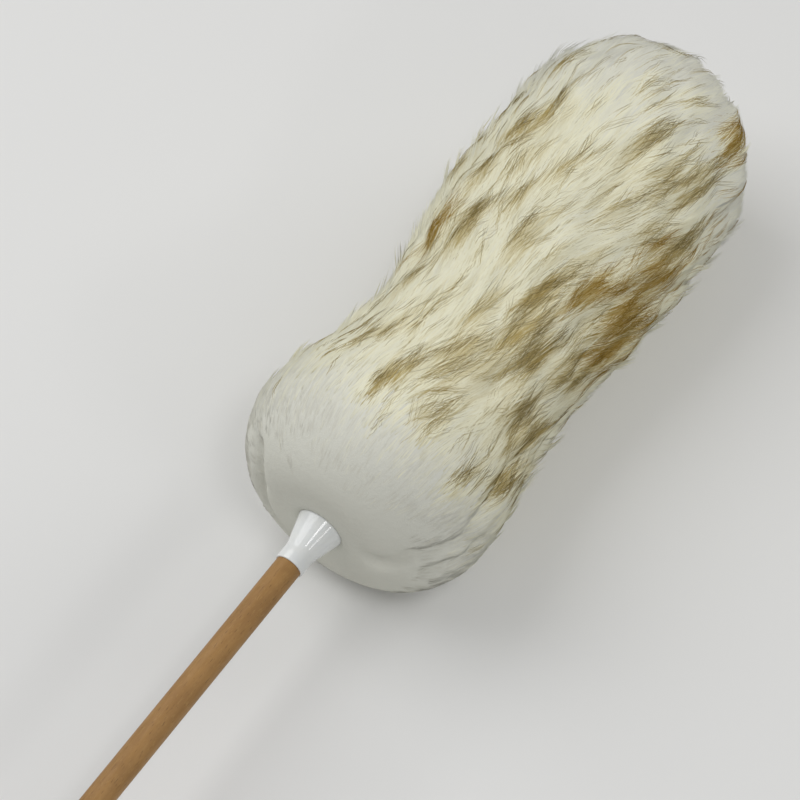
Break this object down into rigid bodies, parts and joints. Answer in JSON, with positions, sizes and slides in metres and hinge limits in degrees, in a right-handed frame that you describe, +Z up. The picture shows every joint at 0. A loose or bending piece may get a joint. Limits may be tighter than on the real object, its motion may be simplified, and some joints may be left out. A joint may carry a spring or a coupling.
{
  "type": "lambswool duster",
  "caption": "Hand duster: a round wooden rod with a flared white ferrule and a long, rounded lambswool head with brown-tipped wool.",
  "frame": {"origin": "on the surface that the duster lies on, straight below the rod's axis, halfway along the duster", "axes": "+Y along the rod from the handle's butt to the wool's tip, +Z up from the surface, +X to the right seen from the handle"},
  "size_m": [0.1466, 0.711, 0.139],
  "materials": {
    "wood": "satin",
    "white_plastic": "gloss",
    "hide": "matte",
    "wool": "matte",
    "steel": "satin"
  },
  "bodies": {
    "root": {"handle_rod": "wood", "ferrule": "white_plastic", "hide_strip": "hide", "fleece": "wool", "base_staple": "steel", "tip_staple": "steel"}
  },
  "joints": []
}
